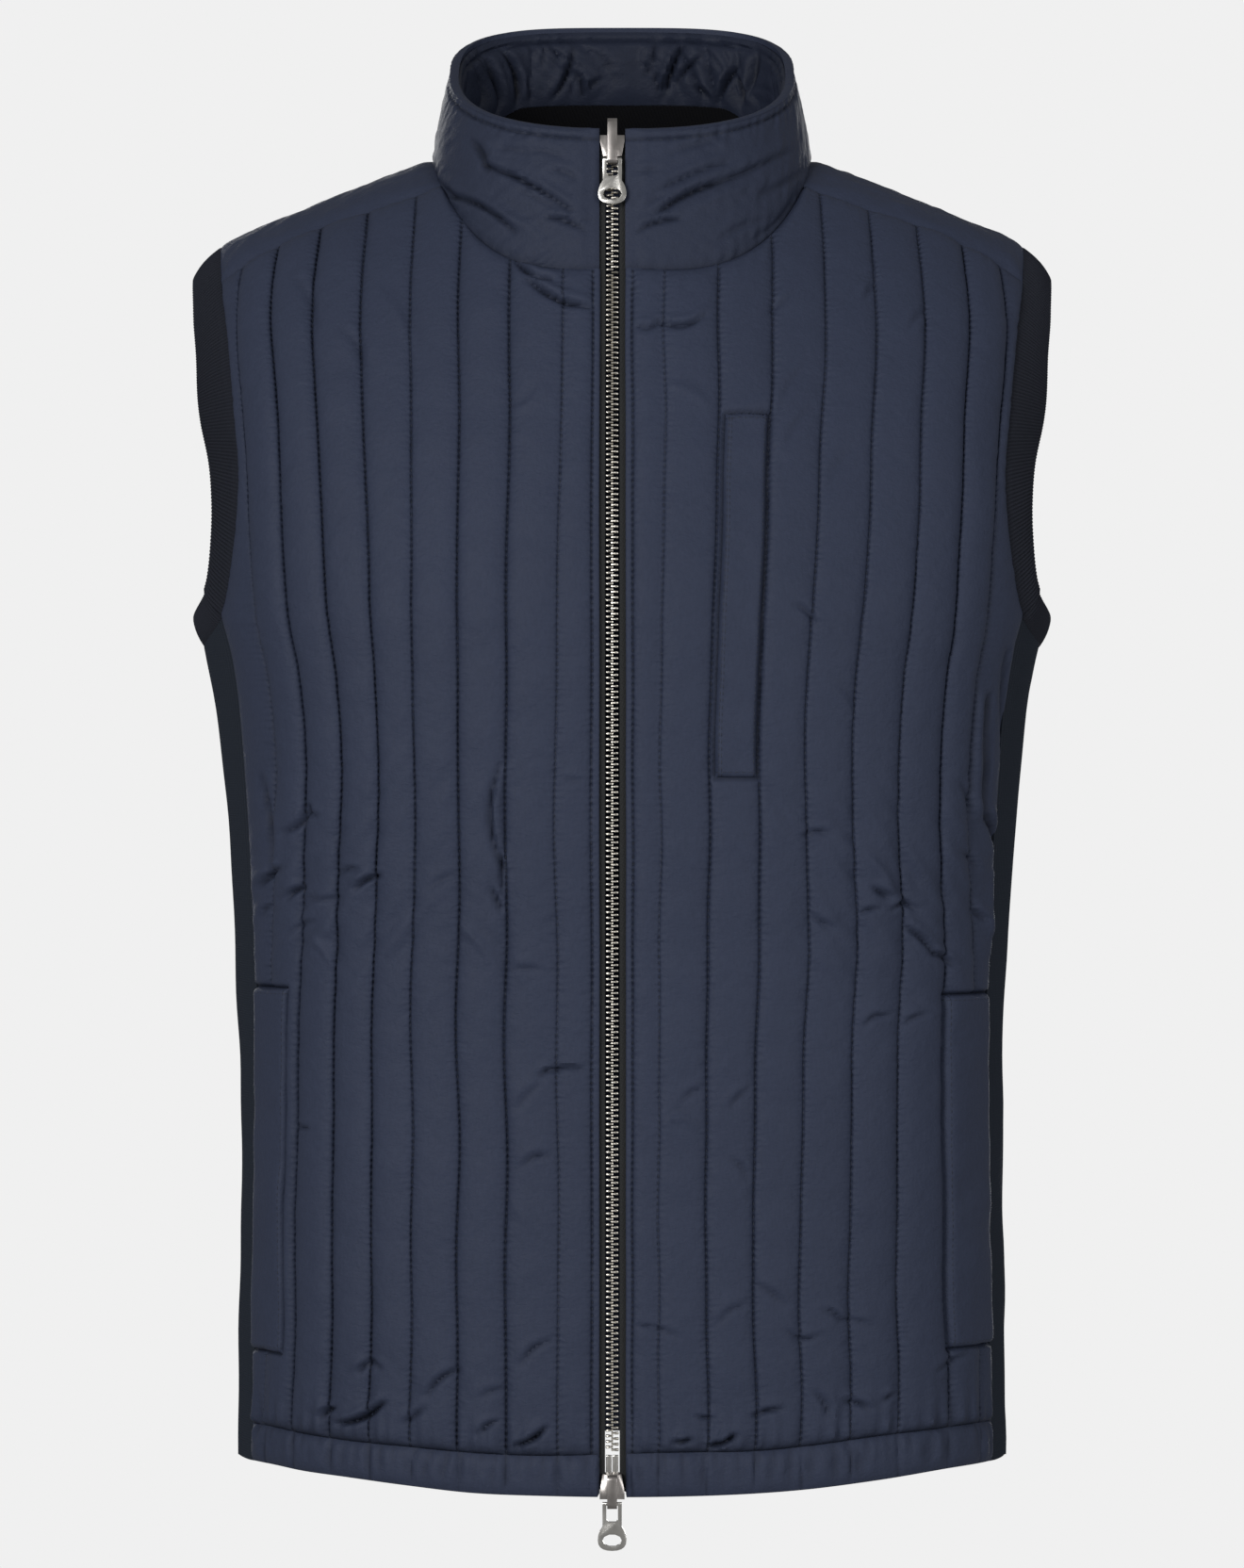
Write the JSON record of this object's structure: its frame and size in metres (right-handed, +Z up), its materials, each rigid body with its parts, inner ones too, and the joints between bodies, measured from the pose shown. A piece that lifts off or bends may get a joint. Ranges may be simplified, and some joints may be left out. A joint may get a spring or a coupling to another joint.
{
  "type": "quilted vest",
  "caption": "Hollow worn quilted zip vest with stand collar, upright quilted channels, ribbed armhole bands, knit side panels, welt pockets and a two-way metal zip with swinging pulls.",
  "frame": {"origin": "centre of the neck opening, at the height where the shoulder line meets the neck, where the wearer's shoulders carry the vest", "axes": "+Z up, the front of the vest faces -Y, +X is the wearer's left"},
  "size_m": [0.4214, 0.2733, 0.7367],
  "materials": {
    "nylon": "satin navy nylon",
    "lining_nylon": "satin navy nylon",
    "side_knit": "matt rib knit",
    "rib_knit": "matt rib knit",
    "black_knit": "matt knit",
    "zip_tape": "matt woven tape",
    "zip_metal": "bright nickel"
  },
  "bodies": {
    "vest": {"front_right": "nylon", "front_left": "nylon", "back": "nylon", "hem_band_front_right": "nylon", "hem_band_front_left": "nylon", "hem_band_back": "nylon", "shoulder_right": "nylon", "shoulder_left": "nylon", "side_right": "side_knit", "side_left": "side_knit", "armhole_band_right": "rib_knit", "armhole_band_left": "rib_knit", "collar": "nylon", "collar_lining": "lining_nylon", "neck_band": "black_knit", "zip_tape_right": "zip_tape", "zip_tape_left": "zip_tape", "zip_chain": "zip_metal", "zip_slider_top": "zip_metal", "zip_slider_bottom": "zip_metal", "zip_pin_right": "zip_metal", "zip_pin_left": "zip_metal", "chest_welt": "nylon", "pocket_welt_right": "nylon", "pocket_welt_left": "nylon"},
    "pull_top": {"zip_pull_top": "zip_metal"},
    "pull_bottom": {"zip_pull_bottom": "zip_metal"}
  },
  "joints": [
    {"name": "top_pull_swing", "type": "hinge", "parent": "vest", "child": "pull_top", "pos_m": [-0.0046, -0.09037, -0.00753], "axis": [-1, 0, 0], "range_deg": [0, 150]},
    {"name": "bottom_pull_swing", "type": "hinge", "parent": "vest", "child": "pull_bottom", "pos_m": [-0.0046, -0.13347, -0.63837], "axis": [-1, 0, 0], "range_deg": [-40, 150]}
  ]
}
